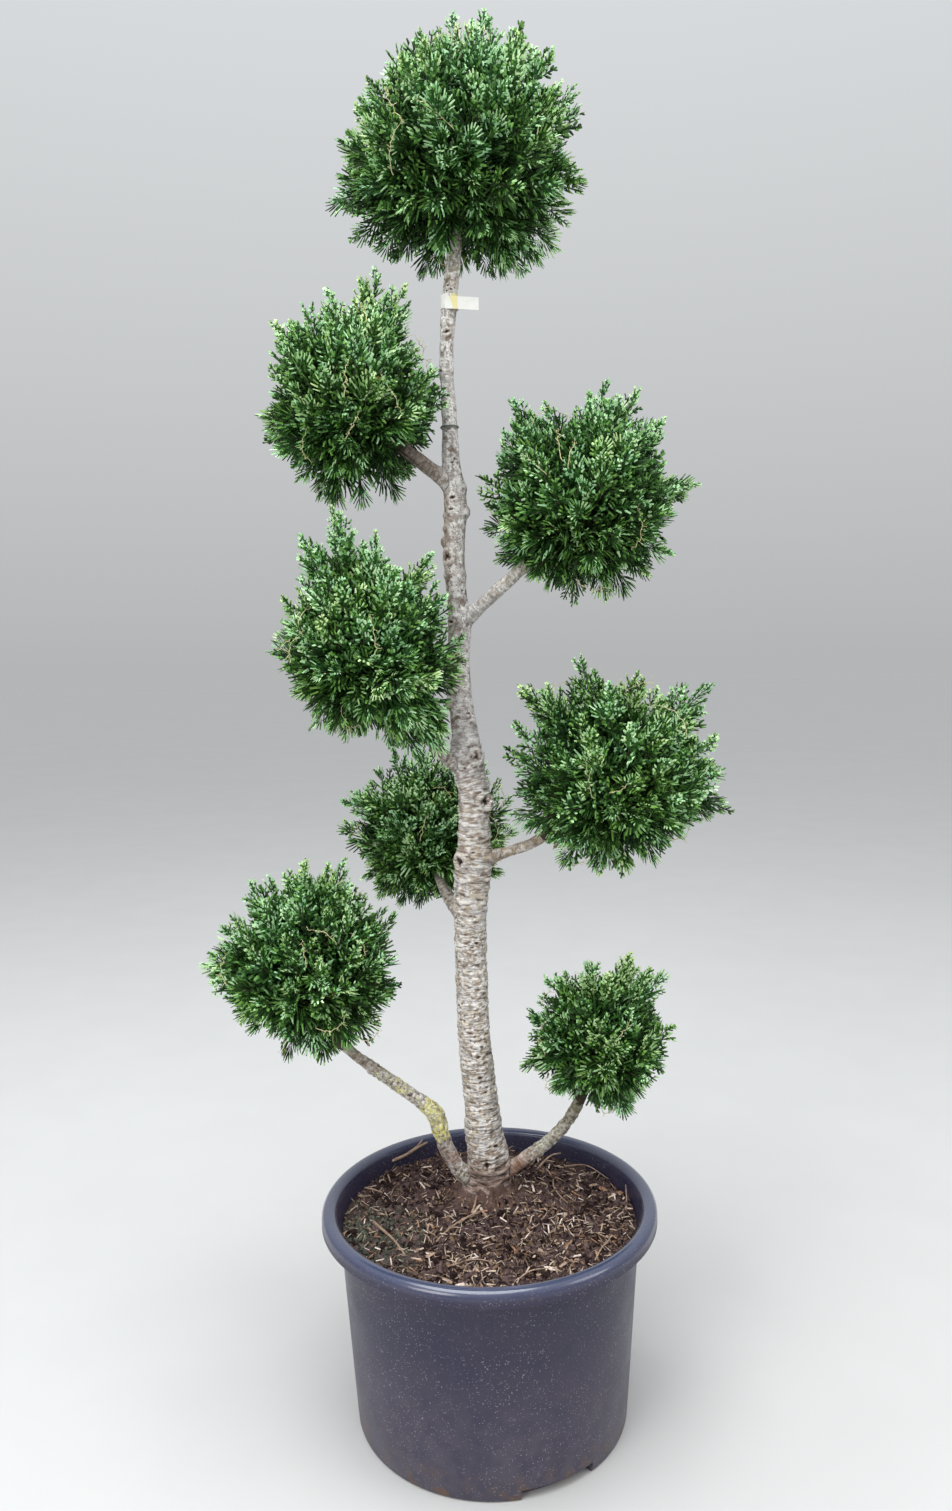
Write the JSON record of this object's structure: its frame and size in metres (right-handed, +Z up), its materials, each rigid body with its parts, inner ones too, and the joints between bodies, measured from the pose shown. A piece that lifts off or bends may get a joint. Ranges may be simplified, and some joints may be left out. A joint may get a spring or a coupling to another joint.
{
  "type": "cloud-clipped hinoki cypress in a nursery container",
  "caption": "Potted hinoki cypress trained as a leaning trunk with side boughs that end in round clipped pads of foliage, in a round plastic container of soil.",
  "frame": {"origin": "centre of the container's flat underside, on the surface it stands on", "axes": "+Z up, +X to the right and +Y away from the viewer when seen from the front"},
  "size_m": [0.515, 0.3986, 1.31],
  "materials": {
    "container_plastic": "dark slate moulded plastic with a soft sheen on the rim",
    "soil": "crumbly dark brown potting soil with bark chips and dry twigs",
    "bark": "grey-brown bark in fine cross ridges, silvery higher up",
    "foliage": "dark green flat scale-leaf sprays with paler tips",
    "label": "plain off-white loop label"
  },
  "bodies": {
    "root": {"container": "container_plastic", "soil": "soil", "trunk": "bark", "bough_upper_left": "bark", "bough_upper_right": "bark", "bough_middle_left": "bark", "bough_middle_right": "bark", "bough_rear": "bark", "bough_lower_left": "bark", "bough_lower_right": "bark", "label_tag": "label", "foliage_top": "foliage", "foliage_upper_left": "foliage", "foliage_upper_right": "foliage", "foliage_middle_left": "foliage", "foliage_middle_right": "foliage", "foliage_rear": "foliage", "foliage_lower_left": "foliage", "foliage_lower_right": "foliage"}
  },
  "joints": []
}
